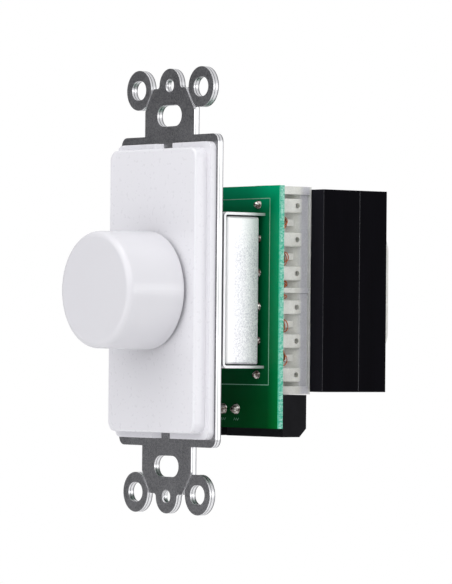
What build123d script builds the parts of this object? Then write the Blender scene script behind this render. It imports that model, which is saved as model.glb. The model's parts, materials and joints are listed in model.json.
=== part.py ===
from build123d import *
import math
import os

# In-wall rotary volume control: a plated strap carries a stepped rotary switch in front
# and, behind it, a circuit board with a tapped transformer and two terminal blocks.
# Millimetres. The origin is the centre of the strap's rear plane, on the shaft axis.
# The front faces -Y, +X is to the right seen from the front and +Z is up.

# Mounting strap
STRAP_T = 1.6
PLATE_W = 37.2
PLATE_H = 73.15
PLATE_R = 2.0
NECK_W = 18.9
NECK_BREAK_Z = 43.0
NECK_TOP_Z = 47.8
NECK_TOP_W = 12.8
BOX_SLOT_Z = 41.3
BOX_SLOT_L = 9.4
BOX_SLOT_W = 5.0
LOBE_Z = 48.42
LOBE_R = 4.0
LOBE_ROOT_R = 0.8
TAP_R = 1.39
TAP_MAJOR_R = 1.6
EAR_X = 11.95
EAR_Z = 47.7
EAR_R = 4.75
EAR_HOLE_W = 5.5
EAR_HOLE_H = 4.6
SCORE_W = 0.5
SCORE_D = 0.35

# Bezel insert
FLANGE_W = 36.0
FLANGE_H = 69.4
FLANGE_Y = -3.26
FLANGE_R = 1.9
NOTCH_FRONT_W = 6.8
NOTCH_REAR_W = 4.0
PANEL_W = 33.3
PANEL_H = 66.6
PANEL_Y = -6.6
PANEL_R = 2.4
PANEL_EDGE = 0.5
PANEL_WALL = 1.8
BEZEL_HOLE_R = 5.0
BOSS_Z = 27.5
BOSS_R = 3.0

# Knob
KNOB_FRONT_Y = -23.2
KNOB_REAR_Y = -7.4
KNOB_FRONT_R = 13.65
KNOB_REAR_R = 13.9
KNOB_EDGE = 1.5
KNOB_WALL = 1.7
HUB_R = 5.2

# Shaft, bushing and fixings
SHAFT_R = 3.0
SHAFT_FLAT = 1.5
SHAFT_FRONT_Y = -20.2
PILOT_R = 2.0
RUN_GAP = 0.04
BUSH_R = 4.5
BUSH_FRONT_Y = -6.0
NUT_AF = 12.0

# Rotary switch (its bracket and cover sit slightly above the shaft axis)
SWITCH_Z0 = 0.2
FRAME_X = 16.8
FRAME_Z = 18.25
FRAME_Y = 1.8
SHEET = 0.65
FRAME_TAB_X = 9.0
TAB_END_Y = 16.5
COVER_X = 16.1
COVER_Z = 17.3
COVER_Y = (3.35, 12.7)
COVER_T = 0.6
COVER_FOOT_X = 4.0
STEPS = 12
STEP_DEG = 30.0
WHEEL_R = 10.4
WHEEL_Y = (4.5, 6.2)
BALL_R = 1.2
BALL_GAP = 0.05
STOP_PIN_R = 1.0
STOP_AT_R = 8.0
HOUSING_REAR_Y = 7.7
BALL_Y = 5.5
ROTOR_Y = (8.0, 9.5)
BASE_Y = (10.6, 12.6)
CONTACT_AT_R = 8.0

# Circuit board
BOARD_Y = (14.1, 15.7)
BOARD_X = 22.0
BOARD_Z = (-32.1, 24.9)

# Transformer
CORE_Z0 = 0.45
CORE_X = 20.0
CORE_HALF_Z = 24.0
YOKE = 8.0
CORE_Y = (29.3, 48.9)
CORE_SPLIT = 0.57
CORE_GAP = 0.06
BOBBIN_WALL = 0.8
SPOOL_X = 11.0
COIL_Y = 17.1
COIL_Z = 15.0
COIL_R = 4.5
TAPE_T = 0.4
RAIL_X = (12.0, 15.5)
RAIL_Z = 24.6
POST_PITCH = 8.0
POST_H = 3.4
RAIL_END = 1.9
RAIL_SLOPE_Y = (23.4, 26.3)
TAB_SIDE_X = 1.4
PIN_X = 14.25
PIN_R = 0.4
LEAD_X = 14.85
LEAD_R = 0.15

# Terminal blocks
POLES = 4
POLE_PITCH = 5.0
BLOCK_X = (1.0, 21.9)
BLOCK_Y = (15.7, 22.9)
BLOCK_Z = (-34.1, -24.2)
FIRST_POLE_X = 4.25
SCREW_Z = -30.3
CHAMBER_W = 4.1
CHAMBER_Z = (-32.5, -27.3)
CAGE_W = 3.6
SCREW_R = 1.25
HEAD_R = 1.75
SHELF_Y = (21.6, 22.1)
BAR_Y = (19.0, 19.5)
FOOT_Z = (-25.3, -24.8)
TAIL_X = (1.6, 6.5)
TAIL_Z = -27.7
TAIL_R = 0.4

CORE_MID_Y = (CORE_Y[0] + CORE_Y[1]) / 2


def block(x, y, z):
    """Box given by its low and high limits on each axis."""
    size = [pair[1] - pair[0] for pair in (x, y, z)]
    mid = [(pair[0] + pair[1]) / 2 for pair in (x, y, z)]
    return Pos(*mid) * Box(*size)


def rod(radius, y, x=0.0, z=0.0):
    """Round bar along Y."""
    return Pos(x, (y[0] + y[1]) / 2, z) * Rot(90, 0, 0) * Cylinder(radius, y[1] - y[0])


def ring(outer, inner, y, x=0.0, z=0.0):
    """Washer shape along Y."""
    return rod(outer, y, x, z) - rod(inner, (y[0] - 1, y[1] + 1), x, z)


def plate(profile, y):
    """Sketch drawn in X and Z, thickened along Y."""
    return extrude(Plane.XZ.offset(-y[1]) * profile, amount=y[1] - y[0])


def turned(points):
    """Solid of revolution about Y from (radius, y) points."""
    outline = make_face(Polyline(*[(r, y) for r, y in points], close=True))
    return revolve(outline, axis=Axis.Y)


def polar(radius, degrees):
    """X and Z of a point, measured clockwise from +Z as seen from the front."""
    a = math.radians(degrees)
    return radius * math.sin(a), radius * math.cos(a)


def d_section(radius, flat):
    """Round section with a flat on its +X side."""
    return Circle(radius) & (Pos(flat - 2 * radius, 0) * Rectangle(4 * radius, 4 * radius))


def post_heights():
    """Heights of the six bobbin posts and their pins."""
    return [CORE_Z0 + POST_PITCH * (i - 2.5) for i in range(6)]


def pole_centres(side):
    """Pole positions along X of the terminal block on one side."""
    return [side * (FIRST_POLE_X + POLE_PITCH * i) for i in range(POLES)]


def neck_outline(end):
    """Neck of the strap with its corners cut back towards the centre lobe."""
    half = NECK_W / 2
    top = NECK_TOP_W / 2
    points = [(-half, end * 30), (half, end * 30), (half, end * NECK_BREAK_Z)]
    points += [(top, end * NECK_TOP_Z), (-top, end * NECK_TOP_Z), (-half, end * NECK_BREAK_Z)]
    return make_face(Polyline(*points, close=True))


def lobe_root_x():
    """Half width of the centre lobe where it leaves the neck's end."""
    return math.sqrt(LOBE_R ** 2 - (LOBE_Z - NECK_TOP_Z) ** 2)


def mounting_strap():
    """Pressed yoke: plate, necks, centre lobes and break-off ear rings."""
    sheet = RectangleRounded(PLATE_W, PLATE_H, PLATE_R)
    for end in (1, -1):
        sheet += neck_outline(end)
        sheet += Pos(0, end * LOBE_Z) * Circle(LOBE_R)
        roots = [v for v in sheet.vertices() if abs(abs(v.X) - lobe_root_x()) < 0.01 and v.Y * end > 0]
        sheet = fillet(roots, LOBE_ROOT_R)
        for side in (1, -1):
            sheet += Pos(side * EAR_X, end * EAR_Z) * Circle(EAR_R)
    for end in (1, -1):
        sheet -= Pos(0, end * BOX_SLOT_Z) * SlotOverall(BOX_SLOT_L, BOX_SLOT_W)
        sheet -= Pos(0, end * LOBE_Z) * Circle(TAP_R)
        sheet -= Pos(0, end * BOSS_Z) * Circle(1.5)
        for side in (1, -1):
            sheet -= Pos(side * EAR_X, end * EAR_Z) * SlotOverall(EAR_HOLE_W, EAR_HOLE_H)
    sheet -= Circle(BUSH_R + 0.15)
    strap = plate(sheet, (-STRAP_T, 0))
    flare = TAP_MAJOR_R - TAP_R
    y = -STRAP_T
    cone = turned([(0, y - 0.01), (TAP_MAJOR_R, y - 0.01), (TAP_R, y + flare), (0, y + flare)])
    rear = turned([(0, 0.01), (TAP_MAJOR_R, 0.01), (TAP_R, -flare), (0, -flare)])
    for end in (1, -1):
        strap -= Pos(0, 0, end * LOBE_Z) * cone
        strap -= Pos(0, 0, end * LOBE_Z) * rear
        for side in (1, -1):
            strap -= break_groove(side, end)
    return strap


def break_groove(side, end):
    """Scored line where an ear snaps off the neck, on the front face."""
    low = (NECK_W / 2, NECK_BREAK_Z)
    high = (NECK_TOP_W / 2, NECK_TOP_Z)
    lean = math.degrees(math.atan2(low[0] - high[0], high[1] - low[1]))
    mid = ((low[0] + high[0]) / 2, (low[1] + high[1]) / 2)
    groove = Box(SCORE_W, 2 * SCORE_D, math.dist(low, high) + 1.5)
    turn = Rot(0, -side * end * lean, 0)
    return Pos(side * mid[0], -STRAP_T, end * mid[1]) * turn * groove


def flange_notch():
    """Notch with sloped sides, wider at the front of the flange."""
    front, rear = NOTCH_FRONT_W / 2, NOTCH_REAR_W / 2
    points = [(-front, FLANGE_Y), (front, FLANGE_Y), (rear, -STRAP_T), (-rear, -STRAP_T)]
    return extrude(make_face(Polyline(*points, close=True)), amount=1.0, both=True)


def bezel():
    """White insert: thin flange, raised hollow panel and two screw bosses."""
    rim = RectangleRounded(FLANGE_W, FLANGE_H, FLANGE_R)
    flange = plate(rim, (FLANGE_Y, -STRAP_T))
    for end in (1, -1):
        flange -= Pos(0, 0, end * (PANEL_H / 2 + 1.1)) * flange_notch()
    panel = plate(RectangleRounded(PANEL_W, PANEL_H, PANEL_R), (PANEL_Y, -STRAP_T))
    panel = fillet(panel.faces().sort_by(Axis.Y)[0].edges(), PANEL_EDGE)
    shell = flange + panel
    hollow = RectangleRounded(PANEL_W - 2 * PANEL_WALL, PANEL_H - 2 * PANEL_WALL, 1.5)
    shell -= plate(hollow, (PANEL_Y + PANEL_WALL, 0))
    for end in (1, -1):
        shell += rod(BOSS_R, (PANEL_Y + PANEL_WALL - 0.5, -STRAP_T), 0, end * BOSS_Z)
        shell -= rod(1.3, (-5.2, 0), 0, end * BOSS_Z)
    return shell - rod(BEZEL_HOLE_R, (PANEL_Y - 1, 0))


def pan_screw(radius, head_r, head_y, tip_y, x, z, slot):
    """Pan-head screw along Y whose head lies over head_y; the tip points to -Y or +Y."""
    seat, crown = head_y
    head = rod(head_r, (min(seat, crown), max(seat, crown)), x, z)
    edge = head.faces().sort_by(Axis.Y)[-1 if crown > seat else 0].edges()
    head = fillet(edge, abs(crown - seat) * 0.35)
    shank = rod(radius, (min(seat, tip_y), max(seat, tip_y)), x, z)
    depth = abs(crown - seat) * 0.45
    sign = 1 if crown > seat else -1
    cut = Pos(x, crown, z) * Box(2 * head_r + 1, 2 * depth, slot)
    screw = head + shank - cut
    if sign > 0:
        screw -= Pos(x, crown, z) * Box(slot, 2 * depth, head_r)
    return screw


def bezel_screws():
    """Two screws that hold the bezel from behind the strap."""
    upper = pan_screw(1.25, 2.5, (0, 1.5), -4.9, 0, BOSS_Z, 0.6)
    lower = pan_screw(1.25, 2.5, (0, 1.5), -4.9, 0, -BOSS_Z, 0.6)
    return Compound(children=[upper, lower])


def knob():
    """Hollow round knob with a hub and six stiffening ribs."""
    outline = [(0, KNOB_FRONT_Y), (KNOB_FRONT_R, KNOB_FRONT_Y), (KNOB_REAR_R, KNOB_REAR_Y), (0, KNOB_REAR_Y)]
    body = turned(outline)
    body = fillet(body.faces().sort_by(Axis.Y)[0].edges(), KNOB_EDGE)
    body = fillet(body.faces().sort_by(Axis.Y)[-1].edges(), 0.3)
    floor_y = KNOB_FRONT_Y + KNOB_WALL
    inner = KNOB_FRONT_R - KNOB_WALL
    body -= rod(inner, (floor_y, KNOB_REAR_Y + 1)) - rod(HUB_R, (floor_y, KNOB_REAR_Y + 1))
    body -= rod(HUB_R + 0.5, (KNOB_REAR_Y - 0.8, KNOB_REAR_Y + 1))
    for i in range(6):
        web = block((-0.6, 0.6), (floor_y - 0.2, floor_y + 7.0), (HUB_R - 0.5, inner + 0.3))
        body += Rot(0, 60 * i, 0) * web
    bore = plate(d_section(SHAFT_R + 0.03, SHAFT_FLAT + 0.5), (SHAFT_FRONT_Y - 0.3, 0))
    return body - bore


def knob_clip():
    """Leaf spring between the shaft's flat and the hub bore."""
    leaf = block((SHAFT_FLAT + 0.05, SHAFT_FLAT + 0.4), (-18.5, -9.0), (-1.5, 1.5))
    tip = block((SHAFT_FLAT + 0.05, SHAFT_FLAT + 0.45), (-19.2, -18.5), (-1.5, 1.5))
    return leaf + tip


def shaft():
    """Steel shaft: D section for the knob, clip groove, round journal, D section and pilot."""
    bar = plate(d_section(SHAFT_R, SHAFT_FLAT), (SHAFT_FRONT_Y, -8.0))
    bar = chamfer(bar.faces().sort_by(Axis.Y)[0].edges(), 0.4)
    bar += rod(SHAFT_R, (-8.0, -6.6))
    bar += rod(2.5, (-6.6, -6.1))
    bar += rod(SHAFT_R, (-6.1, 4.2))
    bar += plate(d_section(SHAFT_R, SHAFT_FLAT + 0.6), (4.2, ROTOR_Y[1]))
    bar += rod(PILOT_R, (ROTOR_Y[1], BASE_Y[1] - 0.9))
    return bar


def shaft_e_clip():
    """Retaining clip in the shaft's groove."""
    clip = ring(4.7, 2.52, (-6.58, -6.12))
    clip -= block((-1.7, 1.7), (-7, -6), (-6, 0))
    for side in (1, -1):
        clip -= rod(0.7, (-7, -6), side * 3.3, 2.6)
    return clip


def bushing():
    """Threaded bushing riveted to the switch bracket."""
    barrel = rod(BUSH_R, (BUSH_FRONT_Y, COVER_Y[0] - 0.2))
    barrel = chamfer(barrel.faces().sort_by(Axis.Y)[0].edges(), 0.4)
    barrel += rod(6.4, (FRAME_Y + SHEET, COVER_Y[0] - 0.2))
    return barrel - rod(SHAFT_R + RUN_GAP, (BUSH_FRONT_Y - 1, 4))


def lock_washer():
    """Internal-tooth lock washer under the nut."""
    washer = ring(7.2, 5.6, (-STRAP_T - 0.5, -STRAP_T))
    for i in range(8):
        tooth = block((-0.9, 0.9), (-STRAP_T - 0.5, -STRAP_T), (4.62, 5.8))
        washer += Rot(0, 45 * i, 0) * tooth
    return washer


def shaft_nut():
    """Hexagon nut that clamps the strap to the bushing."""
    high = (-STRAP_T - 2.5, -STRAP_T - 0.5)
    nut = plate(RegularPolygon(NUT_AF / 2, 6, major_radius=False), high)
    nut &= turned([(0, high[0]), (6.2, high[0]), (7.2, high[0] + 0.7), (7.2, high[1]), (0, high[1])])
    return nut - rod(BUSH_R + 0.02, (-6, 0))


def spacer_washer():
    """Spacer between the strap and the switch bracket."""
    return ring(8.0, BUSH_R + 0.05, (0, FRAME_Y))


def switch_frame():
    """U-shaped bracket around the switch, with tabs through the board."""
    outer = block((-FRAME_X, FRAME_X), (FRAME_Y, BOARD_Y[0]), (-FRAME_Z, FRAME_Z))
    outer = fillet(outer.edges().filter_by(Axis.X).group_by(Axis.Y)[0], 1.2)
    inside = block((-20, 20), (FRAME_Y + SHEET, 20), (-FRAME_Z + SHEET, FRAME_Z - SHEET))
    inside = fillet(inside.edges().filter_by(Axis.X).group_by(Axis.Y)[0], 0.4)
    frame = outer - inside
    for x, z in four_ways(FRAME_TAB_X, FRAME_Z - SHEET / 2):
        frame += Pos(x, (BOARD_Y[0] + TAB_END_Y) / 2, z) * Box(3.0, TAB_END_Y - BOARD_Y[0], SHEET)
    return Pos(0, 0, SWITCH_Z0) * frame - rod(BUSH_R + 0.03, (0, 6))


def four_ways(x, z):
    """The four points mirrored about both centre lines."""
    return [(i * x, k * z) for i in (1, -1) for k in (1, -1)]


def switch_cover():
    """Plated steel box over the switch, open towards the board."""
    x, z = COVER_X, COVER_Z
    outer = block((-x, x), COVER_Y, (-z, z))
    outer = fillet(outer.edges().filter_by(Axis.Z).group_by(Axis.Y)[0], 1.0)
    outer = fillet(outer.edges().filter_by(Axis.X).group_by(Axis.Y)[0], 0.6)
    inner = block((-x + COVER_T, x - COVER_T), (COVER_Y[0] + COVER_T, 20), (-z + COVER_T, z - COVER_T))
    cover = outer - inner
    foot_y = (COVER_Y[1] - 0.5, TAB_END_Y)
    for foot_x, foot_z in four_ways(COVER_FOOT_X, z - COVER_T / 2):
        cover += Pos(foot_x, sum(foot_y) / 2, foot_z) * Box(2.4, foot_y[1] - foot_y[0], COVER_T)
    return Pos(0, 0, SWITCH_Z0) * cover - rod(SHAFT_R + 0.6, (0, 8))


def detent_housing():
    """Fixed block with the wheel's chamber, two ball bores and the end stop."""
    limit_x = COVER_X - COVER_T - 0.1
    limit_z = COVER_Z - COVER_T - 0.1 - SWITCH_Z0
    body = block((-limit_x, limit_x), (COVER_Y[0] + COVER_T + 0.05, HOUSING_REAR_Y), (-limit_z, limit_z))
    body -= rod(WHEEL_R + 0.8, (0, 12))
    reach = limit_z - 0.9
    for end in (1, -1):
        body -= Pos(0, BALL_Y, end * (WHEEL_R + reach) / 2) * Cylinder(BALL_R + 0.1, reach - WHEEL_R)
    body += block((STOP_AT_R - 1.2, WHEEL_R + 1.2), (WHEEL_Y[1] + 0.2, HOUSING_REAR_Y), (-1.0, 1.0))
    return body


def detent_ball_radius():
    """Distance of a ball's centre from the shaft axis."""
    return WHEEL_R + BALL_GAP + BALL_R


def detent_balls():
    """Two steel balls that press on the detent wheel."""
    balls = [Pos(0, BALL_Y, end * detent_ball_radius()) * Sphere(BALL_R) for end in (1, -1)]
    return Compound(children=balls)


def detent_springs():
    """Two coil springs behind the balls."""
    low = detent_ball_radius() + BALL_R + 0.15
    high = COVER_Z - COVER_T - SWITCH_Z0 - 1.15
    springs = []
    for end in (1, -1):
        path = Helix(pitch=(high - low) / 3.5, height=high - low, radius=0.85)
        start = Plane(origin=path @ 0, z_dir=path % 0)
        coil = sweep(start * Circle(0.15), path=path)
        turn = Rot(0, 0, 0) if end > 0 else Rot(180, 0, 0)
        springs.append(Pos(0, BALL_Y, end * low) * turn * coil)
    return Compound(children=springs)


def detent_wheel():
    """Twelve-notch wheel on the shaft, with the pin that meets the end stop."""
    disc = Circle(WHEEL_R)
    for i in range(STEPS):
        x, z = polar(WHEEL_R + BALL_R * 0.75, STEP_DEG * i)
        disc -= Pos(x, z) * Circle(BALL_R + 0.1)
    disc -= d_section(SHAFT_R + 0.02, SHAFT_FLAT + 0.62)
    wheel = plate(disc, WHEEL_Y)
    x, z = polar(STOP_AT_R, 90 + STEP_DEG / 2)
    return wheel + rod(STOP_PIN_R, (WHEEL_Y[1] - 0.5, HOUSING_REAR_Y - 0.2), x, z)


def rotor():
    """Plastic disc that carries the wipers."""
    disc = Circle(9.6) - d_section(SHAFT_R + 0.02, SHAFT_FLAT + 0.62)
    return plate(disc, ROTOR_Y)


def wipers():
    """Sprung bridge from the centre ring to one fixed contact."""
    back = ROTOR_Y[1]
    arm = block((-1.1, 1.1), (back, back + 0.3), (3.4, 8.9))
    arm += block((-1.1, 1.1), (back, back + 0.3), (-8.9, -3.4))
    for radius in (4.3, CONTACT_AT_R):
        for end in (1, -1):
            arm += rod(0.6, (back + 0.2, BASE_Y[0] - 0.38), 0, end * radius)
    return arm


def switch_base():
    """Fixed wafer behind the rotor, with the pilot bore and the pin holes."""
    limit_x = COVER_X - COVER_T - 0.1
    limit_z = COVER_Z - COVER_T - 0.1 - SWITCH_Z0
    base = block((-limit_x, limit_x), BASE_Y, (-limit_z, limit_z))
    base -= rod(PILOT_R + RUN_GAP, (BASE_Y[0] - 1, BASE_Y[1] - 0.7))
    for x, z in contact_points():
        base -= rod(0.4, (BASE_Y[0] - 1, BASE_Y[1] + 1), x, z)
    return base


def contact_points():
    """Pin positions of the twelve fixed contacts and the centre ring."""
    return [polar(CONTACT_AT_R, STEP_DEG * i) for i in range(STEPS)] + [polar(4.3, 45)]


def stator_contacts():
    """Twelve fixed contacts, the centre ring and their pins through the board."""
    top = BASE_Y[0]
    pieces = []
    for x, z in contact_points()[:-1]:
        pieces.append(rod(1.0, (top - 0.3, top), x, z) + rod(0.35, (top - 0.1, BOARD_Y[1] + 0.8), x, z))
    x, z = contact_points()[-1]
    centre = ring(5.2, 3.4, (top - 0.3, top)) + rod(0.35, (top - 0.1, BOARD_Y[1] + 0.8), x, z)
    return Compound(children=pieces + [centre])


def circuit_board():
    """Board with holes for every pin and slots for the bracket and cover tabs."""
    low, high = BOARD_Z
    board = block((-BOARD_X, BOARD_X), BOARD_Y, (low, high))
    through = (BOARD_Y[0] - 1, BOARD_Y[1] + 1)
    for x, z in contact_points():
        board -= rod(0.42, through, x, z)
    for side in (1, -1):
        for z in post_heights():
            board -= rod(PIN_R + 0.05, through, side * PIN_X, z)
        for x in TAIL_X:
            board -= rod(TAIL_R + 0.05, through, side * x, TAIL_Z)
    for x, z in four_ways(FRAME_TAB_X, FRAME_Z - SHEET / 2):
        board -= Pos(x, BOARD_Y[0], z + SWITCH_Z0) * Box(3.1, 10, SHEET + 0.1)
    for x, z in four_ways(COVER_FOOT_X, COVER_Z - COVER_T / 2):
        board -= Pos(x, BOARD_Y[0], z + SWITCH_Z0) * Box(2.5, 10, COVER_T + 0.1)
    return board


def dome(x, z, radius, height):
    """Solder cone with a hollow flank on the board's front face."""
    y = BOARD_Y[0]
    outline = [(0, y), (radius, y), (radius * 0.86, y - height * 0.28), (radius * 0.6, y - height * 0.62)]
    outline += [(radius * 0.36, y - height * 0.9), (radius * 0.16, y - height), (0, y - height)]
    return Pos(x, 0, z) * turned(outline)


def transformer_solder():
    """Solder joints of the transformer pins."""
    domes = []
    for side in (1, -1):
        for z in post_heights():
            domes.append(dome(side * PIN_X, z, 1.1, 1.35))
    return Compound(children=domes)


def terminal_solder():
    """Solder joints of the terminal tails."""
    domes = [dome(side * x, TAIL_Z, 1.35, 1.6) for side in (1, -1) for x in TAIL_X]
    return Compound(children=domes)


def core_window(x_open, y):
    """Laminations with two windows, closed at one end by the back of the E."""
    z0 = CORE_Z0
    outer = block((-CORE_X, CORE_X), y, (z0 - CORE_HALF_Z, z0 + CORE_HALF_Z))
    for end in (1, -1):
        near, far = z0 + end * YOKE, z0 + end * 2 * YOKE
        z = (min(near, far), max(near, far))
        outer -= block((-CORE_X + YOKE, CORE_X - YOKE), (y[0] - 1, y[1] + 1), z)
    cut = CORE_X - YOKE
    keep_e = block((-CORE_X - 1, cut - CORE_GAP), (y[0] - 1, y[1] + 1), (-40, 40))
    keep_i = block((cut, CORE_X + 1), (y[0] - 1, y[1] + 1), (-40, 40))
    if x_open < 0:
        keep_e = mirror(keep_e, Plane.YZ)
        keep_i = mirror(keep_i, Plane.YZ)
    return outer & keep_e, outer & keep_i


def core_layers():
    """Y limits of the front and rear lamination packs."""
    split = CORE_Y[0] + CORE_SPLIT * (CORE_Y[1] - CORE_Y[0])
    return (CORE_Y[0], split - CORE_GAP / 2), (split + CORE_GAP / 2, CORE_Y[1])


def flange_outline(x):
    """Bobbin flange at one end of the coil: outline drawn in Z and Y."""
    low = CORE_Z0 - 2 * YOKE + 0.3
    high = CORE_Z0 + 2 * YOKE - 0.3
    return block(x, (BLOCK_Y[0] + 0.1, CORE_MID_Y + COIL_Y + 0.3), (low, high))


def bobbin():
    """Moulded spool around the core's centre leg, with a rail of six posts at each end."""
    z0 = CORE_Z0
    leg = YOKE + 0.15
    hole_y = (CORE_Y[0] - 0.15, CORE_Y[1] + 0.15)
    wall = BOBBIN_WALL
    tube = block((-CORE_X + YOKE + 0.1, CORE_X - YOKE - 0.1), (hole_y[0] - wall, hole_y[1] + wall),
                 (z0 - leg - wall, z0 + leg + wall))
    spool = tube
    for side in (1, -1):
        x = (SPOOL_X, RAIL_X[0] - 0.1) if side > 0 else (-RAIL_X[0] + 0.1, -SPOOL_X)
        disc = flange_outline(x)
        disc = fillet(disc.edges().filter_by(Axis.X).group_by(Axis.Y)[-1], 6.0)
        spool += disc
        spool += rail(side)
        for z, half in wire_gaps():
            slot = (SPOOL_X - 0.2, RAIL_X[0] + 1.2) if side > 0 else (-RAIL_X[0] - 1.2, 0.2 - SPOOL_X)
            spool -= block(slot, (BOARD_Y[1] + 2.2, BOARD_Y[1] + 5.0), (z - half * 0.68, z + half * 0.68))
    return spool - block((-30, 30), hole_y, (z0 - leg, z0 + leg))


def rail(side):
    """Terminal rail: back strip with a sloped foot, lip, six posts, thin centre rib and two end blocks."""
    near, far = RAIL_X
    back = CORE_Y[0] - 0.1
    z0 = CORE_Z0
    front = BOARD_Y[1] + 0.05
    body = block((SPOOL_X, near + 0.9), (front, back), (z0 - RAIL_Z, z0 + RAIL_Z))
    step, low = RAIL_SLOPE_Y[1], near + 0.9
    body += block((SPOOL_X, far - 0.6), (step, back), (z0 - RAIL_Z, z0 + RAIL_Z))
    slope = make_face(Polyline((low - 0.1, RAIL_SLOPE_Y[0]), (far - 0.6, step), (low - 0.1, step), close=True))
    body += Pos(0, 0, z0) * extrude(slope, amount=RAIL_Z, both=True)
    body += block((far - 1.2, far), (28.7, back), (z0 - RAIL_Z, z0 + RAIL_Z))
    body += block((near, far - 0.2), (front, 28.7), (z0 - 0.6, z0 + 0.6))
    for end in (1, -1):
        outer, inner = z0 + end * RAIL_Z, z0 + end * (RAIL_Z - RAIL_END)
        body += block((near, far), (front, back), (min(outer, inner), max(outer, inner)))
    for z in post_heights():
        post = block((near, far), (front, step), (z - POST_H / 2, z + POST_H / 2))
        post = fillet(post.edges().filter_by(Axis.Y).group_by(Axis.X)[-1], 0.4)
        body += post
        body -= Pos(far, 25.0, z) * Rot(0, 90, 0) * Cylinder(0.65, 2.4)
        body -= rod(PIN_R + 0.02, (front - 1, 24.0), PIN_X, z)
    for i in (-2, -1, 1, 2):
        z = z0 + POST_PITCH * i
        body += block((near, far - TAB_SIDE_X), (front + 6.7, front + 9.2), (z - 0.8, z + 0.8))
    return body if side > 0 else mirror(body, Plane.YZ)


def wire_gaps():
    """Centres and half widths of the spaces between the posts; the centre rib splits the middle one."""
    wide = (POST_PITCH - POST_H) / 2
    gaps = [(CORE_Z0 + POST_PITCH * i, wide) for i in (-2, -1, 1, 2)]
    narrow = (wide - 0.6) / 2
    return gaps + [(CORE_Z0 + side * (0.6 + narrow), narrow) for side in (1, -1)]


def coil_section(grow):
    """Rounded section of the coil in Z and Y, grown by a margin."""
    return RectangleRounded(2 * (COIL_Z + grow), 2 * (COIL_Y + grow), COIL_R + grow)


def coil_solid(grow, x):
    """Coil section extruded along X."""
    face = Plane(origin=(x[0], CORE_MID_Y, CORE_Z0), x_dir=(0, 0, 1), z_dir=(1, 0, 0)) * coil_section(grow)
    return extrude(face, amount=x[1] - x[0], dir=(1, 0, 0))


def winding():
    """Copper winding on the spool."""
    x = (-SPOOL_X + 0.1, SPOOL_X - 0.1)
    wall = BOBBIN_WALL + 0.2
    leg = YOKE + wall
    hole = block((-20, 20), (CORE_Y[0] - wall, CORE_Y[1] + wall), (CORE_Z0 - leg, CORE_Z0 + leg))
    return coil_solid(-TAPE_T - 0.05, x) - hole


def coil_tape():
    """Tape wrapped round the winding."""
    x = (-SPOOL_X + 0.1, SPOOL_X - 0.1)
    return coil_solid(0, x) - coil_solid(-TAPE_T, (x[0] - 1, x[1] + 1))


def transformer_pins():
    """Twelve square-ended pins from the posts through the board."""
    pins = []
    for side in (1, -1):
        for z in post_heights():
            pins.append(rod(PIN_R, (BOARD_Y[0] + 0.05, 23.9), side * PIN_X, z))
    return Compound(children=pins)


def lead(points, radius):
    """Round wire along a smooth line through the points."""
    path = Spline(*points)
    start = Plane(origin=path @ 0, z_dir=path % 0)
    return sweep(start * Circle(radius), path=path)


def tap_leads(side):
    """Enamelled leads that leave the coil through the slots and loop beside the posts."""
    wires = []
    for i, (z, half) in enumerate(wire_gaps()):
        for k in (0, 1):
            up = half * (0.36 if (i + k) % 2 else -0.36)
            x = LEAD_X - 0.5 * k
            y = BOARD_Y[1] + 3.0 + 0.8 * k
            path = [(SPOOL_X + 0.15, y, z + up * 0.4), (x - 1.0, y + 0.6, z + up)]
            path += [(x - 0.1, y + 2.6, z + up * 1.5), (x, y + 4.4, z + up * 0.4)]
            path += [(x, y + 4.2, z - up * 0.9)]
            path += [(x - 0.3, y + 2.0, z - up * 1.7), (x - 0.8, y - 0.2, z - up * 1.5)]
            wires.append(lead([(side * p[0], p[1], p[2]) for p in path], LEAD_R))
    return Compound(children=wires)


def terminal_housing(side):
    """Black block with four chambers, wire entries below and screw wells behind."""
    y0, y1 = BLOCK_Y
    low, high = BLOCK_Z
    x = BLOCK_X if side > 0 else (-BLOCK_X[1], -BLOCK_X[0])
    body = block(x, (y0 + 0.05, y1), (low, high))
    corner = body.edges().filter_by(Axis.X).sort_by(lambda e: e.center().Y - e.center().Z)[-1]
    body = chamfer(corner, length=2.0)
    half = CHAMBER_W / 2
    for cx in pole_centres(side):
        body -= block((cx - half, cx + half), (y0 + 0.4, SHELF_Y[0]), CHAMBER_Z)
        body -= block((cx - 1.7, cx + 1.7), (y0 + 0.9, BAR_Y[0]), (low - 1, low + 2))
        body -= rod(HEAD_R + 0.12, (SHELF_Y[1], y1 + 1), cx, SCREW_Z)
        body -= rod(SCREW_R + 0.12, (SHELF_Y[0] - 1, y1), cx, SCREW_Z)
        body -= block((cx - 1.4, cx + 1.4), (BAR_Y[0] - 0.05, BAR_Y[1] + 0.05), (SCREW_Z + 2.0, FOOT_Z[1] + 0.05))
        body -= block((cx - 0.65, cx + 0.65), (y0, BAR_Y[1]), (FOOT_Z[0] - 0.05, FOOT_Z[1] + 0.05))
    for tail in TAIL_X:
        body -= rod(TAIL_R + 0.03, (y0, y0 + 0.37), side * tail, TAIL_Z)
    return body


def terminal_bars(side):
    """Four fixed bars that the cages pull the wires against, with feet on the board."""
    bars = []
    for cx in pole_centres(side):
        bar = block((cx - 1.3, cx + 1.3), BAR_Y, (CHAMBER_Z[0] + 0.3, FOOT_Z[1]))
        foot = block((cx - 0.6, cx + 0.6), (BOARD_Y[1] + 0.05, BAR_Y[1]), FOOT_Z)
        bars.append(bar + foot)
    return Compound(children=bars)


def terminal_pins():
    """Pins that fix the terminal blocks to the board."""
    span = (BOARD_Y[0] + 0.05, BLOCK_Y[0] + 0.33)
    return Compound(children=[rod(TAIL_R, span, side * x, TAIL_Z) for side in (1, -1) for x in TAIL_X])


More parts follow.
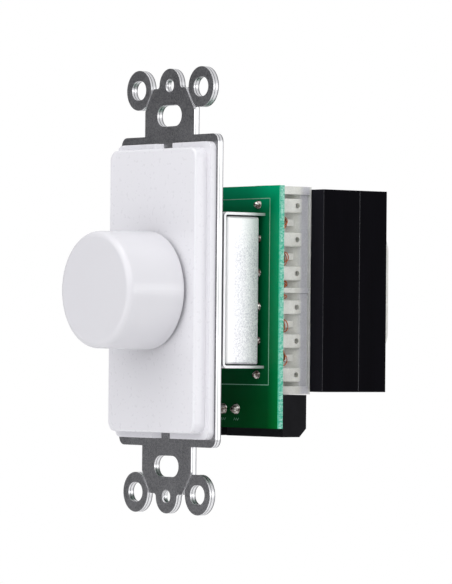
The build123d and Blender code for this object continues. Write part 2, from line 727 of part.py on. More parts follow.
def terminal_screw(side, i):
    """Clamp screw, captive in the block, with a cross-slotted head."""
    cx = pole_centres(side)[i]
    head_y = (SHELF_Y[1] + 0.05, BLOCK_Y[1] - 0.2)
    return pan_screw(SCREW_R, HEAD_R, head_y, BAR_Y[1] + 0.2, cx, SCREW_Z, 0.5)


def clamp_cage(side, i):
    """Rising cage: threaded top plate, two sides and the floor under the wire."""
    cx = pole_centres(side)[i]
    y0 = BLOCK_Y[0]
    half = CAGE_W / 2
    depth = (SCREW_Z - 1.7, SCREW_Z + 1.9)
    top = BAR_Y[1] + 0.7
    cage = block((cx - half, cx + half), (y0 + 0.5, top), depth)
    cage -= block((cx - half + 0.4, cx + half - 0.4), (y0 + 0.9, top - 0.65), (depth[0] - 1, depth[1] + 1))
    return cage - rod(SCREW_R + 0.05, (BAR_Y[1], top + 1), cx, SCREW_Z)


def parts():
    """Every node by name."""
    front, rear = core_layers()
    front_e, front_i = core_window(1, front)
    rear_e, rear_i = core_window(-1, rear)
    made = {
        "mounting_strap": mounting_strap(),
        "bezel": bezel(),
        "bezel_screws": bezel_screws(),
        "knob": knob(),
        "knob_clip": knob_clip(),
        "shaft": shaft(),
        "shaft_e_clip": shaft_e_clip(),
        "bushing": bushing(),
        "lock_washer": lock_washer(),
        "shaft_nut": shaft_nut(),
        "spacer_washer": spacer_washer(),
        "switch_frame": switch_frame(),
        "switch_cover": switch_cover(),
        "detent_housing": detent_housing(),
        "detent_balls": detent_balls(),
        "detent_springs": detent_springs(),
        "detent_wheel": detent_wheel(),
        "rotor": rotor(),
        "wipers": wipers(),
        "switch_base": switch_base(),
        "stator_contacts": stator_contacts(),
        "circuit_board": circuit_board(),
        "transformer_solder": transformer_solder(),
        "terminal_solder": terminal_solder(),
        "core_front_e": front_e,
        "core_front_i": front_i,
        "core_rear_e": rear_e,
        "core_rear_i": rear_i,
        "bobbin": bobbin(),
        "winding": winding(),
        "coil_tape": coil_tape(),
        "transformer_pins": transformer_pins(),
        "terminal_pins": terminal_pins(),
        "tap_leads_right": tap_leads(1),
        "tap_leads_left": tap_leads(-1),
    }
    for word, side in (("right", 1), ("left", -1)):
        made[f"terminal_block_{word}"] = terminal_housing(side)
        made[f"terminal_bars_{word}"] = terminal_bars(side)
        for i in range(POLES):
            made[f"terminal_screw_{word}_{i + 1}"] = terminal_screw(side, i)
            made[f"clamp_cage_{word}_{i + 1}"] = clamp_cage(side, i)
    return made


os.makedirs("parts", exist_ok=True)
for name, shape in parts().items():
    export_step(shape, f"parts/{name}.step")
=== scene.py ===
import json
import math
import random

import bmesh
import bpy
from mathutils import Matrix, Vector

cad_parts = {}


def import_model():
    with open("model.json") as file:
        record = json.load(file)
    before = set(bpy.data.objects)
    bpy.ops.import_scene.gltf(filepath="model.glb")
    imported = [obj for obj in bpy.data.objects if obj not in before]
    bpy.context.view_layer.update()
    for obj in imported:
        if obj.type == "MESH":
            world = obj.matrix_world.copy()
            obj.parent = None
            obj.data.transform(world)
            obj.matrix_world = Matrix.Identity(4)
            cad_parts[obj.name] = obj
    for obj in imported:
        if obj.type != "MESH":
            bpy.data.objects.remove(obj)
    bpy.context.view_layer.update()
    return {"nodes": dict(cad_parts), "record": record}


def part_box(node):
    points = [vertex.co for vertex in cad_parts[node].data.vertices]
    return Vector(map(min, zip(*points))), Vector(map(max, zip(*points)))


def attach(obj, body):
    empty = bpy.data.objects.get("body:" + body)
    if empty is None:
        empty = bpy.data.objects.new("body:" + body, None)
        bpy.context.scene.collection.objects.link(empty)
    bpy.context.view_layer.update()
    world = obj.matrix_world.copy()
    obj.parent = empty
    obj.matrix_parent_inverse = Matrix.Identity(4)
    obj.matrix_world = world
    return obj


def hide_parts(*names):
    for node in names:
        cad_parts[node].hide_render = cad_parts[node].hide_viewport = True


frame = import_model()
NODES = frame["nodes"]
MM = 0.001

# printing on the board
PRINT_HALF_X = 18.55 * MM
PRINT_HALF_Z = 21.9 * MM
PRINT_LINE = 0.18 * MM
INK_THICK = 0.02 * MM
MARK_PLACES = ((1.6, -29.9), (6.5, -29.9))    # x, z in mm
MARK_PITCH = 0.7                              # mm
MARK_LINE = 0.14 * MM

# bobbin posts, and the leads between them
POST_PITCH = 8.0 * MM
POST_H = 3.4 * MM
RIB_HALF = 0.6 * MM
LEAD_R = 0.13 * MM
LEADS_A_GAP = 4
LEAD_REST = 5.2 * MM                          # behind the board's rear face
LEAD_SHAKE = 0.14 * MM
LEAD_ROUTE = (                                # share of reach, of depth and of height
    (0.0, -1.6, 0.1), (0.4, -0.8, 0.5), (0.9, 0.0, 1.0), (1.0, 0.7, 0.8), (1.0, 1.0, 0.1),
    (1.0, 0.7, -0.7), (0.9, 0.1, -0.9), (0.5, -0.7, -0.5), (0.0, -1.4, -0.2),
)

# studio: each light's name, place, width and height, and watts; all look at the origin
LIGHTS = (
    ("key", (-0.05, -0.95, 0.55), (1.3, 1.0), 5.5),
    ("low", (0.00, -0.95, -0.60), (1.2, 0.8), 4.0),
    ("over", (0.20, -0.40, 1.05), (0.5, 0.5), 3.0),
    ("right", (0.80, -0.30, 0.55), (0.6, 0.6), 2.0),
    ("side", (0.85, 0.62, 0.04), (1.1, 0.30), 2.1),
)
CARD_TOWARDS = (-0.75, -0.62, -0.05)
CARD_FADE = (0.55, 0.86)                      # cosines where the card begins and is full
CARD_TONES = ((0.92, 0.92, 0.94), (0.10, 0.10, 0.11))
SURROUND_STRENGTH = 0.80
FLOOR_R = 6.0
FLOOR_Z = -0.45

# camera: angles in degrees, then metres, and the lens in mm
CAMERA_AZIMUTH = 52.393
CAMERA_ELEVATION = -0.778
CAMERA_ROLL = 0.518
CAMERA_DISTANCE = 0.9718
CAMERA_AIM = (0.007656, 0.0098, -0.000116)
CAMERA_LENS = 253.97
SENSOR_WIDTH = 36.0

random.seed(7)

scene = bpy.context.scene
scene.view_settings.view_transform = "Standard"


# ---------------------------------------------------------------- node helpers

class Shader:
    """A material with one Principled shader, and short calls that add nodes to it."""

    def __init__(self, name):
        self.material = bpy.data.materials.new(name)
        self.material.use_nodes = True
        self.tree = self.material.node_tree
        self.tree.nodes.clear()
        self.out = self.add("ShaderNodeOutputMaterial")
        self.bsdf = self.add("ShaderNodeBsdfPrincipled")
        self.link(self.bsdf.outputs[0], self.out.inputs[0])
        self.place = self.add("ShaderNodeTexCoord").outputs["Object"]

    def add(self, kind, **settings):
        node = self.tree.nodes.new(kind)
        for key, value in settings.items():
            setattr(node, key, value)
        return node

    def link(self, a, b):
        self.tree.links.new(a, b)

    def set(self, **values):
        """Constant inputs of the Principled shader, by their names with underscores."""
        for key, value in values.items():
            self.bsdf.inputs[key.replace("_", " ")].default_value = value
        return self

    def mapped(self, scale):
        """Object coordinates stretched by a scale per axis."""
        node = self.add("ShaderNodeMapping")
        node.inputs["Scale"].default_value = scale
        self.link(self.place, node.inputs["Vector"])
        return node.outputs[0]

    def noise(self, scale, detail=2.0, rough=0.5, vector=None):
        node = self.add("ShaderNodeTexNoise")
        node.inputs["Scale"].default_value = scale
        node.inputs["Detail"].default_value = detail
        node.inputs["Roughness"].default_value = rough
        self.link(vector or self.place, node.inputs["Vector"])
        return node.outputs["Fac"]

    def cells(self, scale, vector=None):
        node = self.add("ShaderNodeTexVoronoi")
        node.inputs["Scale"].default_value = scale
        self.link(vector or self.place, node.inputs["Vector"])
        return node.outputs["Distance"]

    def span(self, value, low, high, a=0.0, b=1.0):
        """Value remapped from low..high to a..b."""
        node = self.add("ShaderNodeMapRange")
        for i, number in enumerate((low, high, a, b)):
            node.inputs[i + 1].default_value = number
        self.link(value, node.inputs[0])
        return node.outputs[0]

    def math(self, operation, a, b):
        node = self.add("ShaderNodeMath", operation=operation)
        for socket, value in zip(node.inputs, (a, b)):
            if isinstance(value, (int, float)):
                socket.default_value = value
            else:
                self.link(value, socket)
        return node.outputs[0]

    def mix(self, fac, a, b):
        """Colour between a and b."""
        node = self.add("ShaderNodeMix", data_type="RGBA")
        for socket, value in ((node.inputs[0], fac), (node.inputs[6], a), (node.inputs[7], b)):
            if isinstance(value, tuple):
                socket.default_value = (*value, 1.0)
            elif isinstance(value, (int, float)):
                socket.default_value = value
            else:
                self.link(value, socket)
        return node.outputs[2]

    def axis(self, name):
        node = self.add("ShaderNodeSeparateXYZ")
        self.link(self.place, node.inputs[0])
        return node.outputs[name]

    def colour(self, socket):
        self.link(socket, self.bsdf.inputs["Base Color"])
        return self

    def rough(self, socket):
        self.link(socket, self.bsdf.inputs["Roughness"])
        return self

    def relief(self, height, strength, distance, edge=0.0):
        """Bump from a height, over edges rounded by a radius."""
        node = self.add("ShaderNodeBump")
        node.inputs["Strength"].default_value = strength
        node.inputs["Distance"].default_value = distance
        self.link(height, node.inputs["Height"])
        if edge:
            round_edge = self.add("ShaderNodeBevel", samples=6)
            round_edge.inputs["Radius"].default_value = edge
            self.link(round_edge.outputs[0], node.inputs["Normal"])
        self.link(node.outputs[0], self.bsdf.inputs["Normal"])
        return self

    def soft_edges(self, radius):
        """Edges rounded by a radius, with no relief."""
        node = self.add("ShaderNodeBevel", samples=8)
        node.inputs["Radius"].default_value = radius
        self.link(node.outputs[0], self.bsdf.inputs["Normal"])
        return self

    def across_y(self):
        """0 on faces that look along Y, 1 on the sides between them."""
        geometry = self.add("ShaderNodeNewGeometry")
        apart = self.add("ShaderNodeSeparateXYZ")
        self.link(geometry.outputs["Normal"], apart.inputs[0])
        return self.span(self.math("ABSOLUTE", apart.outputs["Y"], 0.0), 0.85, 0.5)

    def edges(self, radius):
        """0 on flat ground, rising to 1 on edges and corners."""
        bevel = self.add("ShaderNodeBevel", samples=6)
        bevel.inputs["Radius"].default_value = radius
        plain = self.add("ShaderNodeNewGeometry")
        dot = self.add("ShaderNodeVectorMath", operation="DOT_PRODUCT")
        self.link(bevel.outputs[0], dot.inputs[0])
        self.link(plain.outputs["Normal"], dot.inputs[1])
        return self.span(dot.outputs["Value"], 0.98, 0.80)


def grain_metal(name, dark, light, rough, grain, bump, edge=0.12 * MM, metallic=1.0):
    """Plated metal: cloudy tone, fine grain in roughness and relief, rounded edges."""
    s = Shader(name).set(Metallic=metallic)
    fine = s.noise(grain, 3.0, 0.6)
    cloud = s.noise(180.0, 3.0, 0.55)
    tone = s.mix(s.span(cloud, 0.3, 0.7), dark, light)
    tone = s.mix(s.span(fine, 0.35, 0.75, 0.0, 0.25), tone, tuple(min(1.0, c * 1.25) for c in light))
    s.colour(tone)
    s.rough(s.span(s.math("ADD", fine, cloud), 0.6, 1.4, rough * 0.8, rough * 1.25))
    s.relief(fine, bump, 0.02 * MM, edge)
    return s.material


# ------------------------------------------------------------------- materials

def strap_steel():
    """Plated sheet steel: dark speckled rolled faces; the edges left by the shear carry a painted highlight
    band across the middle of their thickness and painted shade towards the rear face.
    """
    s = Shader("strap_steel").set(Metallic=1.0)
    fine = s.noise(3400.0, 3.0, 0.75)
    cloud = s.noise(150.0, 3.0, 0.55)
    face = s.mix(s.span(fine, 0.32, 0.68), (0.17, 0.17, 0.18), (0.44, 0.44, 0.45))
    face = s.mix(s.span(cloud, 0.35, 0.65, 0.0, 0.18), face, (0.26, 0.26, 0.27))
    depth = s.axis("Y")
    # Painted highlight: a bright band across the middle of the edge's thickness.
    painted_highlight_band = s.span(s.math("ABSOLUTE", s.math("ADD", depth, 1.05 * MM), 0.0), 0.04 * MM, 0.16 * MM)
    sheared_with_painted_light = s.mix(painted_highlight_band, (0.22, 0.22, 0.23), (0.80, 0.80, 0.81))
    # Painted shade: the edge darker towards the rear face.
    sheared_with_painted_light = s.mix(s.span(depth, -0.42 * MM, -0.12 * MM), sheared_with_painted_light, (0.16, 0.16, 0.17))
    s.colour(s.mix(s.across_y(), face, sheared_with_painted_light))
    s.rough(s.span(s.math("ADD", fine, cloud), 0.6, 1.4, 0.30, 0.44))
    s.relief(fine, 0.45, 0.02 * MM, 0.10 * MM)
    return s.material


def white_gloss():
    """Moulded white insert: nearly even, with a faint flow tint and an orange-peel skin."""
    s = Shader("white_gloss").set(Coat_Weight=0.2, Coat_Roughness=0.15, Specular_IOR_Level=0.4)
    flow = s.noise(40.0, 2.0, 0.4)
    s.colour(s.mix(s.span(flow, 0.3, 0.7), (0.705, 0.700, 0.730), (0.715, 0.710, 0.740)))
    skin = s.noise(900.0, 2.0, 0.5)
    s.rough(s.span(skin, 0.3, 0.7, 0.272, 0.282))
    s.soft_edges(0.15 * MM)
    return s.material


def knob_white():
    """The knob's slightly greyer white, under a clear gloss."""
    s = Shader("knob_white").set(Coat_Weight=0.5, Coat_Roughness=0.07, Specular_IOR_Level=0.3)
    flow = s.noise(50.0, 2.0, 0.4)
    s.colour(s.mix(s.span(flow, 0.3, 0.7), (0.640, 0.635, 0.662), (0.652, 0.647, 0.674)))
    skin = s.noise(1400.0, 2.0, 0.55)
    s.rough(s.span(skin, 0.3, 0.7, 0.285, 0.305))
    s.soft_edges(0.10 * MM)
    return s.material


def board_green():
    """Solder mask over faint copper areas, with painted light: darker at the bottom and lighter at the top,
    and a paler painted sheen near the side edges and along the top; bare laminate on the cut edges.
    """
    low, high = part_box("circuit_board")
    s = Shader("board_green").set(Specular_IOR_Level=0.04)
    weave = s.cells(2600.0)
    cloud = s.noise(70.0, 4.0, 0.6)
    # Painted light: the mask darker towards the bottom and lighter towards the top.
    tone = s.mix(s.span(s.axis("Z"), low.z, high.z), (0.0003, 0.050, 0.008), (0.0003, 0.120, 0.045))
    tone = s.mix(s.span(cloud, 0.35, 0.65, 0.0, 0.3), tone, (0.0005, 0.075, 0.024))
    # Painted sheen: paler green near the side edges and along the top, itself lighter higher up.
    side = s.span(s.math("ABSOLUTE", s.axis("X"), 0.0), high.x - 4.0 * MM, high.x)
    top = s.span(s.axis("Z"), high.z - 6.0 * MM, high.z)
    painted_sheen_border = s.mix(s.span(s.axis("Z"), low.z, high.z), (0.0005, 0.15, 0.025), (0.0005, 0.32, 0.145))
    mask = s.mix(s.math("MAXIMUM", s.math("MULTIPLY", side, 0.75), top), tone, painted_sheen_border)
    cut = s.across_y()
    fibre = s.noise(2300.0, 3.0, 0.7, s.mapped((1.0, 0.5, 1.0)))
    glass = s.mix(s.span(fibre, 0.40, 0.65), (0.050, 0.36, 0.24), (0.35, 0.62, 0.52))
    glass = s.mix(s.span(s.axis("Y"), low.y, low.y + 0.7 * MM, 0.85, 0.0), glass, (0.004, 0.34, 0.19))
    s.colour(s.mix(cut, mask, glass))
    s.rough(s.math("ADD", s.span(weave, 0.0, 0.8, 0.18, 0.24), s.math("MULTIPLY", cut, 0.35)))
    s.relief(weave, 0.03, 0.02 * MM)
    return s.material


def core_black():
    """Black lacquer over lamination edges that run up the stack's sides, and a lighter grey painted
    highlight along the core's corners.
    """
    s = Shader("core_black").set(Specular_IOR_Level=0.015)
    sheets = s.add("ShaderNodeTexWave", wave_type="BANDS", bands_direction="Y")
    sheets.inputs["Scale"].default_value = 320.0
    sheets.inputs["Distortion"].default_value = 1.2
    sheets.inputs["Detail"].default_value = 2.0
    sheets.inputs["Detail Scale"].default_value = 0.6
    s.link(s.place, sheets.inputs["Vector"])
    drip = s.noise(260.0, 4.0, 0.6, s.mapped((1.0, 1.0, 0.25)))
    lacquer = s.mix(s.span(drip, 0.3, 0.8), (0.0012, 0.0010, 0.0020), (0.0030, 0.0028, 0.0042))
    dull = s.mix(s.span(drip, 0.3, 0.8), (0.0090, 0.0085, 0.0120), (0.0130, 0.0125, 0.0165))
    lacquer = s.mix(s.across_y(), dull, lacquer)
    # Painted highlight: edges and corners painted a lighter grey.
    s.colour(s.mix(s.math("MULTIPLY", s.edges(0.20 * MM), 0.8), lacquer, (0.14, 0.14, 0.15)))
    s.rough(s.span(drip, 0.3, 0.7, 0.36, 0.52))
    height = s.math("ADD", s.math("MULTIPLY", sheets.outputs["Fac"], 0.25), drip)
    s.relief(height, 0.22, 0.10 * MM, 0.25 * MM)
    return s.material


def cover_steel():
    """Tin-plated box of the switch: bright, sand-blasted look of fine light and dark specks, with painted
    highlights whitening the bent front edge and the top.
    """
    low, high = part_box("switch_cover")
    s = Shader("cover_steel").set(Metallic=0.55)
    speck = s.noise(2900.0, 4.0, 0.85)
    cloud = s.noise(140.0, 3.0, 0.55)
    tone = s.mix(s.span(speck, 0.38, 0.58), (0.54, 0.53, 0.58), (1.0, 0.99, 1.0))
    tone = s.mix(s.span(cloud, 0.35, 0.65, 0.0, 0.25), tone, (0.86, 0.86, 0.88))
    # Painted highlights: whitened along the bent front edge and towards the top.
    painted_front_highlight = s.span(s.axis("Y"), low.y + 1.0 * MM, low.y + 2.6 * MM, 0.9, 0.0)
    painted_top_highlight = s.span(s.axis("Z"), high.z - 9.0 * MM, high.z, 0.0, 0.8)
    s.colour(s.mix(s.math("MAXIMUM", painted_front_highlight, painted_top_highlight), tone, (1.0, 1.0, 1.0)))
    s.rough(s.span(speck, 0.3, 0.7, 0.36, 0.52))
    s.relief(speck, 0.5, 0.03 * MM, 0.2 * MM)
    return s.material


def nylon():
    """Natural nylon: milky, speckled, a little translucent, with painted shade greying the thin web where
    the black core shows through from behind.
    """
    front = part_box("bobbin")[0].y
    s = Shader("nylon").set(Subsurface_Weight=0.45, Subsurface_Scale=0.9 * MM,
                            Subsurface_Radius=(1.0, 0.95, 0.85), Specular_IOR_Level=0.35)
    cloud = s.noise(320.0, 3.0, 0.6)
    speck = s.noise(2900.0, 3.0, 0.7)
    milk = s.mix(s.span(cloud, 0.3, 0.7), (0.53, 0.53, 0.49), (0.66, 0.66, 0.62))
    milk = s.mix(s.span(speck, 0.5, 0.72, 0.0, 0.45), milk, (0.86, 0.86, 0.83))
    web = s.mix(s.span(speck, 0.35, 0.7), (0.44, 0.44, 0.47), (0.56, 0.56, 0.59))
    # Painted shade: the web greyed from here back to the lip, where the black core lies behind it.
    painted_shade_start = s.span(s.axis("Y"), front + 9.9 * MM, front + 11.2 * MM)
    lip = s.span(s.axis("Y"), front + 12.8 * MM, front + 13.0 * MM, 1.0, 0.1)
    s.colour(s.mix(s.math("MULTIPLY", painted_shade_start, lip), milk, web))
    s.rough(s.span(speck, 0.3, 0.7, 0.28, 0.44))
    s.relief(s.math("ADD", cloud, s.math("MULTIPLY", speck, 0.3)), 0.12, 0.08 * MM, 0.12 * MM)
    return s.material


def coil_tape():
    """White insulating tape in overlapping turns, with a pressed-through wire pattern."""
    s = Shader("coil_tape").set(Specular_IOR_Level=0.4, Sheen_Weight=0.1)
    crease = s.noise(240.0, 4.0, 0.65, s.mapped((1.0, 0.5, 0.5)))
    ribs = s.add("ShaderNodeTexWave", wave_type="BANDS", bands_direction="X")
    ribs.inputs["Scale"].default_value = 700.0
    ribs.inputs["Distortion"].default_value = 0.8
    s.link(s.place, ribs.inputs["Vector"])
    s.colour(s.mix(s.span(crease, 0.3, 0.7), (0.36, 0.36, 0.38), (0.50, 0.50, 0.51)))
    s.rough(s.span(crease, 0.3, 0.7, 0.32, 0.5))
    s.relief(s.math("ADD", crease, s.math("MULTIPLY", ribs.outputs["Fac"], 0.2)), 0.3, 0.15 * MM, 0.1 * MM)
    return s.material


def copper_wire():
    """Enamelled copper: reddish varnish with darker and brighter stretches."""
    s = Shader("copper_wire").set(Metallic=0.85, Coat_Weight=0.6, Coat_Roughness=0.1)
    cloud = s.noise(900.0, 3.0, 0.6)
    s.colour(s.mix(s.span(cloud, 0.3, 0.7), (0.16, 0.022, 0.006), (0.60, 0.15, 0.04)))
    s.rough(s.span(cloud, 0.3, 0.7, 0.2, 0.38))
    s.relief(cloud, 0.1, 0.02 * MM)
    return s.material


def block_black():
    """Moulded black nylon with a fine spark-eroded texture."""
    s = Shader("block_black").set(Specular_IOR_Level=0.06)
    fine = s.noise(3200.0, 3.0, 0.7)
    cloud = s.noise(160.0, 2.0, 0.5)
    s.colour(s.mix(s.span(cloud, 0.3, 0.7), (0.004, 0.004, 0.005), (0.008, 0.008, 0.010)))
    s.rough(s.span(fine, 0.3, 0.7, 0.42, 0.60))
    s.relief(fine, 0.35, 0.03 * MM, 0.2 * MM)
    return s.material


def dark_plastic():
    """Brown-black phenolic of the switch."""
    s = Shader("switch_plastic").set(Specular_IOR_Level=0.45)
    grains = s.cells(3500.0)
    cloud = s.noise(300.0, 4.0, 0.6)
    s.colour(s.mix(s.span(cloud, 0.3, 0.7), (0.020, 0.014, 0.010), (0.045, 0.032, 0.022)))
    s.rough(s.span(grains, 0.0, 0.7, 0.35, 0.55))
    s.relief(grains, 0.1, 0.03 * MM, 0.1 * MM)
    return s.material


def acetal():
    """Natural acetal of the wheel and rotor."""
    s = Shader("wheel_plastic").set(Subsurface_Weight=0.2, Subsurface_Scale=0.8 * MM)
    cloud = s.noise(200.0, 3.0, 0.6)
    s.colour(s.mix(s.span(cloud, 0.3, 0.7), (0.62, 0.59, 0.50), (0.72, 0.69, 0.60)))
    s.rough(s.span(cloud, 0.3, 0.7, 0.32, 0.45))
    s.relief(s.noise(1800.0), 0.08, 0.03 * MM, 0.1 * MM)
    return s.material


def solder():
    """Dark bright solder: smooth swells that mirror the board, frosty patches, brown flux round the foot."""
    s = Shader("solder").set(Metallic=1.0)
    cloud = s.noise(1100.0, 3.0, 0.6)
    flux = s.noise(1500.0, 2.0, 0.5)
    tone = s.mix(s.span(cloud, 0.42, 0.62), (0.10, 0.09, 0.08), (0.66, 0.64, 0.60))
    s.colour(s.mix(s.span(flux, 0.48, 0.62, 0.0, 0.85), tone, (0.06, 0.030, 0.018)))
    s.rough(s.span(cloud, 0.3, 0.75, 0.10, 0.28))
    s.relief(cloud, 0.7, 0.25 * MM)
    return s.material


def printed_ink():
    """White printing ink, slightly broken."""
    s = Shader("printed_ink").set(Specular_IOR_Level=0.3)
    cloud = s.noise(3000.0, 2.0, 0.6)
    s.colour(s.mix(s.span(cloud, 0.3, 0.7), (0.14, 0.34, 0.22), (0.26, 0.48, 0.36)))
    s.rough(s.span(cloud, 0.3, 0.7, 0.45, 0.6))
    return s.material


LOOKS = {
    "strap_steel": strap_steel(),
    "white_gloss": white_gloss(),
    "knob_white": knob_white(),
    "fixing_steel": grain_metal("fixing_steel", (0.50, 0.50, 0.47), (0.66, 0.65, 0.61), 0.26, 3200.0, 0.2),
    "spring_steel": grain_metal("spring_steel", (0.42, 0.42, 0.43), (0.58, 0.58, 0.59), 0.22, 3600.0, 0.15),
    "shaft_steel": grain_metal("shaft_steel", (0.52, 0.52, 0.51), (0.68, 0.68, 0.66), 0.25, 2800.0, 0.2),
    "bushing_metal": grain_metal("bushing_metal", (0.55, 0.52, 0.44), (0.72, 0.69, 0.60), 0.24, 2800.0, 0.2),
    "bracket_steel": grain_metal("bracket_steel", (0.60, 0.60, 0.61), (0.74, 0.74, 0.75), 0.42, 2600.0,
                                 0.35, edge=0.1 * MM, metallic=0.75),
    "cover_steel": cover_steel(),
    "switch_plastic": dark_plastic(),
    "wheel_plastic": acetal(),
    "contact_metal": grain_metal("contact_metal", (0.60, 0.44, 0.20), (0.78, 0.60, 0.30), 0.28, 3000.0, 0.2),
    "board_green": board_green(),
    "solder": solder(),
    "core_black": core_black(),
    "nylon": nylon(),
    "copper_wire": copper_wire(),
    "coil_tape": coil_tape(),
    "tinned_pin": grain_metal("tinned_pin", (0.55, 0.54, 0.51), (0.75, 0.74, 0.71), 0.25, 3600.0, 0.3),
    "block_black": block_black(),
    "cage_metal": grain_metal("cage_metal", (0.52, 0.50, 0.42), (0.70, 0.67, 0.57), 0.3, 3000.0, 0.2),
}
INK = printed_ink()


def dress(obj, material):
    obj.data.materials.clear()
    obj.data.materials.append(material)


for row in frame["record"]["subparts"]:
    dress(NODES[row["node"]], LOOKS[row["material_slot"]])


# ---------------------------------------------------------------- board print

def add_bar(bm, a, b, width, y, thick):
    """Flat strip from a to b, both (x, z) in metres, standing thick proud of the plane at y, towards -Y."""
    ax, az = a
    bx, bz = b
    length = math.hypot(bx - ax, bz - az)
    ux, uz = (bx - ax) / length, (bz - az) / length
    corners = []
    for along, across in ((0, -1), (1, -1), (1, 1), (0, 1)):
        px = ax + ux * length * along - uz * across * width / 2
        pz = az + uz * length * along + ux * across * width / 2
        corners.append((px, pz))
    front = [bm.verts.new((px, y - thick, pz)) for px, pz in corners]
    back = [bm.verts.new((px, y, pz)) for px, pz in corners]
    bm.faces.new(front)
    bm.faces.new(reversed(back))
    for i in range(4):
        k = (i + 1) % 4
        bm.faces.new((front[k], front[i], back[i], back[k]))


def board_print():
    """The white rectangle printed round the switch, and small plain marks by two solder joints."""
    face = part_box("circuit_board")[0].y
    bm = bmesh.new()
    corners = [(-PRINT_HALF_X, -PRINT_HALF_Z), (PRINT_HALF_X, -PRINT_HALF_Z),
               (PRINT_HALF_X, PRINT_HALF_Z), (-PRINT_HALF_X, PRINT_HALF_Z)]
    for i in range(4):
        add_bar(bm, corners[i], corners[(i + 1) % 4], PRINT_LINE, face, INK_THICK)
    for x, z in MARK_PLACES:
        for k in (-1, 0, 1):
            middle = x + k * MARK_PITCH
            foot = ((middle - 0.2) * MM, (z - 0.5) * MM)
            head = ((middle + 0.2) * MM, (z + 0.1) * MM)
            add_bar(bm, foot, head, MARK_LINE, face, INK_THICK)
    bmesh.ops.recalc_face_normals(bm, faces=bm.faces)
    data = bpy.data.meshes.new("board_print")
    bm.to_mesh(data)
    bm.free()
    obj = bpy.data.objects.new("board_print", data)
    scene.collection.objects.link(obj)
    dress(obj, INK)
    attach(obj, "body")


board_print()


# ----------------------------------------------------------------- coil leads

def wire_gaps():
    """Centre heights and half widths of the gaps between the bobbin's posts, in metres."""
    low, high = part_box("bobbin")
    middle = (low.z + high.z) / 2
    wide = (POST_PITCH - POST_H) / 2
    gaps = [(middle + POST_PITCH * i, wide) for i in (-2, -1, 1, 2)]
    narrow = (wide - RIB_HALF) / 2
    return gaps + [(middle + side * (RIB_HALF + narrow), narrow) for side in (1, -1)]


def coil_leads(word, side):
    """Thin enamelled leads that straggle out of the bobbin's slots and loop beside its posts."""
    low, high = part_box(f"tap_leads_{word}")
    inner, outer = (low.x, high.x) if side > 0 else (high.x, low.x)
    board_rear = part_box("circuit_board")[1].y
    span = outer - inner
    data = bpy.data.curves.new(f"coil_leads_{word}", "CURVE")
    data.dimensions = "3D"
    data.bevel_depth = LEAD_R
    data.bevel_resolution = 2
    data.use_fill_caps = True
    rest = board_rear + LEAD_REST
    for z, half in wire_gaps():
        for _ in range(LEADS_A_GAP):
            flip = random.choice((1, -1))
            reach = random.uniform(0.80, 1.0)
            back = random.uniform(0.6, 2.4) * MM
            tall = half * random.uniform(0.55, 0.95)
            lean = half * random.uniform(-0.3, 0.3)
            spline = data.splines.new("NURBS")
            spline.points.add(len(LEAD_ROUTE) - 1)
            for point, (x, y, up) in zip(spline.points, LEAD_ROUTE):
                shake = [random.uniform(-LEAD_SHAKE, LEAD_SHAKE) for axis in range(3)]
                point.co = (inner + span * reach * x - side * abs(shake[0]), rest + back * y + shake[1],
                            z + lean + flip * tall * up + shake[2], 1)
            spline.order_u = 4
            spline.use_endpoint_u = True
            spline.resolution_u = 6
    obj = bpy.data.objects.new(f"coil_leads_{word}", data)
    scene.collection.objects.link(obj)
    dress(obj, LOOKS["copper_wire"])
    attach(obj, "body")
    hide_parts(f"tap_leads_{word}")


coil_leads("right", 1)
coil_leads("left", -1)


# ------------------------------------------------------------ lights and floor

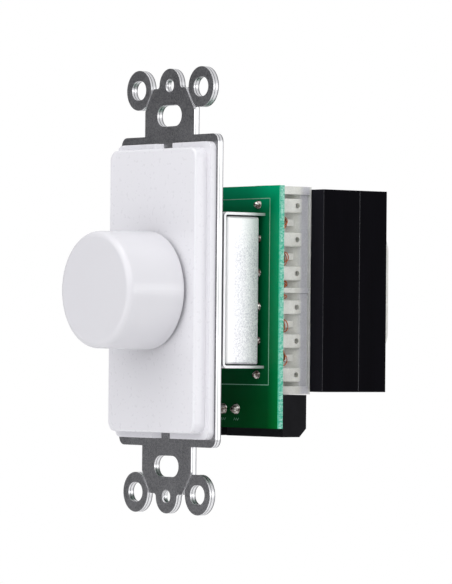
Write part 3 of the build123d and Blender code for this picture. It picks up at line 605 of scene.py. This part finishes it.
def world():
    """White surroundings, darker towards the front left, as a dark card would make them in metal."""
    made = bpy.data.worlds.new("studio")
    made.use_nodes = True
    tree = made.node_tree
    tree.nodes.clear()
    out = tree.nodes.new("ShaderNodeOutputWorld")
    background = tree.nodes.new("ShaderNodeBackground")
    white = tree.nodes.new("ShaderNodeBackground")
    choose = tree.nodes.new("ShaderNodeMixShader")
    path = tree.nodes.new("ShaderNodeLightPath")
    place = tree.nodes.new("ShaderNodeTexCoord")
    dot = tree.nodes.new("ShaderNodeVectorMath")
    dot.operation = "DOT_PRODUCT"
    dot.inputs[1].default_value = Vector(CARD_TOWARDS).normalized()
    ramp = tree.nodes.new("ShaderNodeValToRGB")
    for stop, position, tone in zip(ramp.color_ramp.elements, CARD_FADE, CARD_TONES):
        stop.position = position
        stop.color = (*tone, 1)
    tree.links.new(place.outputs["Generated"], dot.inputs[0])
    tree.links.new(dot.outputs["Value"], ramp.inputs[0])
    tree.links.new(ramp.outputs[0], background.inputs[0])
    background.inputs[1].default_value = SURROUND_STRENGTH
    white.inputs[0].default_value = (1, 1, 1, 1)
    white.inputs[1].default_value = 1.0
    tree.links.new(path.outputs["Is Camera Ray"], choose.inputs[0])
    tree.links.new(background.outputs[0], choose.inputs[1])
    tree.links.new(white.outputs[0], choose.inputs[2])
    tree.links.new(choose.outputs[0], out.inputs[0])
    scene.world = made


def area_light(name, place, size, watts):
    """Rectangular lamp that looks at the origin."""
    data = bpy.data.lights.new(name, "AREA")
    data.shape = "RECTANGLE"
    data.size, data.size_y = size
    data.energy = watts
    obj = bpy.data.objects.new(name, data)
    scene.collection.objects.link(obj)
    obj.location = place
    obj.rotation_mode = "QUATERNION"
    obj.rotation_quaternion = (-Vector(place)).to_track_quat("-Z", "Y")


def floor():
    """Pale floor well below the object, which hangs free of any surface."""
    bm = bmesh.new()
    bmesh.ops.create_circle(bm, cap_ends=True, segments=96, radius=FLOOR_R)
    data = bpy.data.meshes.new("floor")
    bm.to_mesh(data)
    bm.free()
    obj = bpy.data.objects.new("floor", data)
    obj.location = (0, 0, FLOOR_Z)
    scene.collection.objects.link(obj)
    s = Shader("floor").set(Roughness=0.9)
    s.colour(s.mix(s.noise(3.0), (0.90, 0.90, 0.90), (0.94, 0.94, 0.94)))
    dress(obj, s.material)


world()
for light in LIGHTS:
    area_light(*light)
floor()


# --------------------------------------------------------------------- camera

def camera():
    """Long lens from the front right, just below the shaft's height."""
    azimuth, elevation = math.radians(CAMERA_AZIMUTH), math.radians(CAMERA_ELEVATION)
    roll = math.radians(CAMERA_ROLL)
    back = Vector((math.sin(azimuth) * math.cos(elevation), -math.cos(azimuth) * math.cos(elevation),
                   math.sin(elevation)))
    place = back * CAMERA_DISTANCE
    back = (place - Vector(CAMERA_AIM)).normalized()
    level = Vector((0, 0, 1)).cross(back).normalized()
    up = back.cross(level)
    right = level * math.cos(roll) + up * math.sin(roll)
    up = back.cross(right)
    data = bpy.data.cameras.new("camera")
    data.sensor_width = SENSOR_WIDTH
    data.lens = CAMERA_LENS
    data.clip_start, data.clip_end = 0.05, 50.0
    obj = bpy.data.objects.new("camera", data)
    scene.collection.objects.link(obj)
    obj.matrix_world = Matrix.Translation(place) @ Matrix((right, up, back)).transposed().to_4x4()
    scene.camera = obj


camera()
